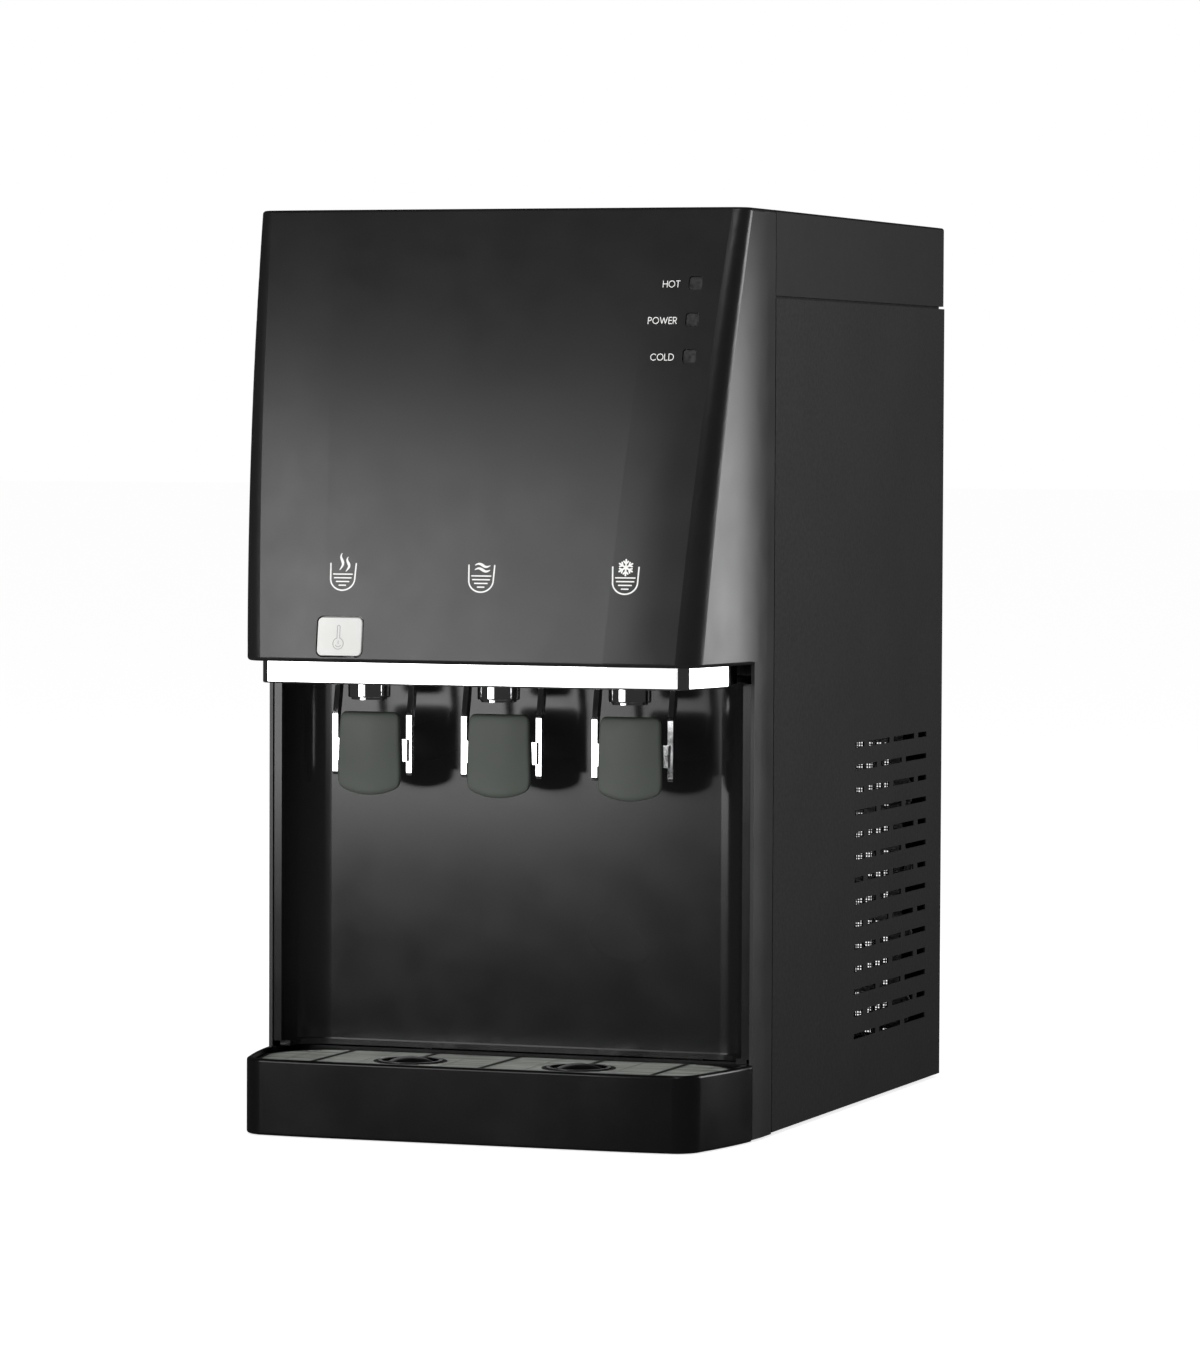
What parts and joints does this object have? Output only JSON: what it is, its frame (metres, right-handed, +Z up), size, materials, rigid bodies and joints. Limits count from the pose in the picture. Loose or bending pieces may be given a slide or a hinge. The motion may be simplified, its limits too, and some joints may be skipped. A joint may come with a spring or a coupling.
{
  "type": "countertop water dispenser",
  "caption": "Boxy black countertop water dispenser with a leaning front, push-back levers for hot, ambient and cold water, and a pull-out drip tray.",
  "frame": {"origin": "centre of the footprint at worktop level, under the four feet", "axes": "+Z up, -Y out of the front, +X to the right of someone who faces the front"},
  "size_m": [0.282, 0.443, 0.5],
  "materials": {
    "black_gloss": "black satin-gloss moulding",
    "black_coated_steel": "matt black powder coat",
    "chrome_plate": "bright chrome plate",
    "grey_paddle": "matt dark grey-green",
    "white_plastic": "white, smooth",
    "smoked_lens": "smoked light guide",
    "grille_metal": "fine brushed lines",
    "black_matt": "matt black moulding",
    "inner_steel": "bright rolled sheet",
    "galvanised": "galvanised sheet",
    "foam": "rigid pale foam",
    "rubber_black": "moulded rubber",
    "board_green": "green circuit board",
    "silicone": "milky silicone tube",
    "condenser_grey": "grey lacquered wire and tube",
    "grey_plastic": "grey moulded fitting",
    "screw_steel": "plated screw",
    "rocker_red": "red rocker",
    "rocker_green": "green rocker",
    "spring_steel": "drawn spring wire"
  },
  "bodies": {
    "housing": {"front_panel": "black_gloss", "top_cover": "black_matt", "left_side_panel": "black_coated_steel", "right_side_panel": "black_coated_steel", "rear_panel": "black_coated_steel", "rear_screws": "screw_steel", "base_pan": "galvanised", "feet": "rubber_black", "tank_shelf": "galvanised", "service_bulkhead": "galvanised", "splash_back": "black_gloss", "chrome_trim": "chrome_plate", "soffit": "black_matt", "lever_pins": "screw_steel", "button_spring": "spring_steel", "safety_switch": "black_matt", "indicator_lenses": "smoked_lens", "indicator_board": "board_green", "hot_tank": "inner_steel", "cold_tank": "inner_steel", "cold_tank_foam": "foam", "compressor": "black_coated_steel", "compressor_mounts": "rubber_black", "condenser": "condenser_grey", "condenser_wires": "condenser_grey", "fan_frame": "black_matt", "control_board": "board_green", "water_tubes": "silicone", "water_inlet": "grey_plastic", "drain_outlets": "black_matt", "power_inlet": "black_matt", "switch_housings": "black_matt", "hot_spout": "chrome_plate", "hot_tap_body": "grey_plastic", "hot_valve_spring": "spring_steel", "ambient_spout": "chrome_plate", "ambient_tap_body": "grey_plastic", "ambient_valve_spring": "spring_steel", "cold_spout": "chrome_plate", "cold_tap_body": "grey_plastic", "cold_valve_spring": "spring_steel"},
    "button": {"safety_button": "white_plastic"},
    "tray": {"drip_tray": "black_gloss"},
    "grille": {"grille_frame": "black_matt", "grille_slats": "grille_metal", "drain_domes": "black_gloss"},
    "fan": {"fan_rotor": "black_matt"},
    "hot_rocker": {"hot_switch": "rocker_red"},
    "cold_rocker": {"cold_switch": "rocker_green"},
    "hot_plug": {"hot_drain_plug": "grey_plastic"},
    "cold_plug": {"cold_drain_plug": "grey_plastic"},
    "hot_lever": {"hot_lever_yoke": "chrome_plate", "hot_lever_paddle": "grey_paddle"},
    "hot_valve_pin": {"hot_plunger": "screw_steel"},
    "ambient_lever": {"ambient_lever_yoke": "chrome_plate", "ambient_lever_paddle": "grey_paddle"},
    "ambient_valve_pin": {"ambient_plunger": "screw_steel"},
    "cold_lever": {"cold_lever_yoke": "chrome_plate", "cold_lever_paddle": "grey_paddle"},
    "cold_valve_pin": {"cold_plunger": "screw_steel"}
  },
  "joints": [
    {"name": "hot_lever_hinge", "type": "hinge", "parent": "housing", "child": "hot_lever", "pos_m": [-0.075, -0.1535, 0.26], "axis": [1, 0, 0], "range_deg": [0, 12], "stiffness_Nm_per_rad": 0.5, "springref_deg": -8.59},
    {"name": "hot_valve_lift", "type": "slide", "parent": "housing", "child": "hot_valve_pin", "axis": [0, 0, 1], "range_m": [0, 0.0026], "deforming": ["hot_valve_spring"]},
    {"name": "ambient_lever_hinge", "type": "hinge", "parent": "housing", "child": "ambient_lever", "pos_m": [0, -0.1535, 0.26], "axis": [1, 0, 0], "range_deg": [0, 12], "stiffness_Nm_per_rad": 0.5, "springref_deg": -8.59},
    {"name": "ambient_valve_lift", "type": "slide", "parent": "housing", "child": "ambient_valve_pin", "axis": [0, 0, 1], "range_m": [0, 0.0026], "deforming": ["ambient_valve_spring"]},
    {"name": "cold_lever_hinge", "type": "hinge", "parent": "housing", "child": "cold_lever", "pos_m": [0.075, -0.1535, 0.26], "axis": [1, 0, 0], "range_deg": [0, 12], "stiffness_Nm_per_rad": 0.5, "springref_deg": -8.59},
    {"name": "cold_valve_lift", "type": "slide", "parent": "housing", "child": "cold_valve_pin", "axis": [0, 0, 1], "range_m": [0, 0.0026], "deforming": ["cold_valve_spring"]},
    {"name": "button_press", "type": "slide", "parent": "housing", "child": "button", "axis": [0, 0.992, -0.1259], "range_m": [0, 0.0025], "stiffness_N_per_m": 400, "springref_m": -0.002, "deforming": ["button_spring"]},
    {"name": "tray_pull", "type": "slide", "parent": "housing", "child": "tray", "axis": [0, -1, 0], "range_m": [0, 0.1]},
    {"name": "grille_lift", "type": "slide", "parent": "tray", "child": "grille", "axis": [0, 0, 1], "range_m": [0, 0.06]},
    {"name": "fan_spin", "type": "hinge", "parent": "housing", "child": "fan", "pos_m": [0.045, 0.147, 0.1], "axis": [0, 1, 0], "continuous": true},
    {"name": "hot_switch_rock", "type": "hinge", "parent": "housing", "child": "hot_rocker", "pos_m": [-0.1, 0.202, 0.13], "axis": [1, 0, 0], "range_deg": [0, 18]},
    {"name": "cold_switch_rock", "type": "hinge", "parent": "housing", "child": "cold_rocker", "pos_m": [-0.1, 0.202, 0.096], "axis": [1, 0, 0], "range_deg": [0, 18]},
    {"name": "hot_plug_pull", "type": "slide", "parent": "housing", "child": "hot_plug", "axis": [0, 1, 0], "range_m": [0, 0.03]},
    {"name": "cold_plug_pull", "type": "slide", "parent": "housing", "child": "cold_plug", "axis": [0, 1, 0], "range_m": [0, 0.03]}
  ],
  "couplings": [
    {"joint": "hot_valve_lift", "follows": "hot_lever_hinge", "m_per_rad": 0.012},
    {"joint": "ambient_valve_lift", "follows": "ambient_lever_hinge", "m_per_rad": 0.012},
    {"joint": "cold_valve_lift", "follows": "cold_lever_hinge", "m_per_rad": 0.012}
  ]
}
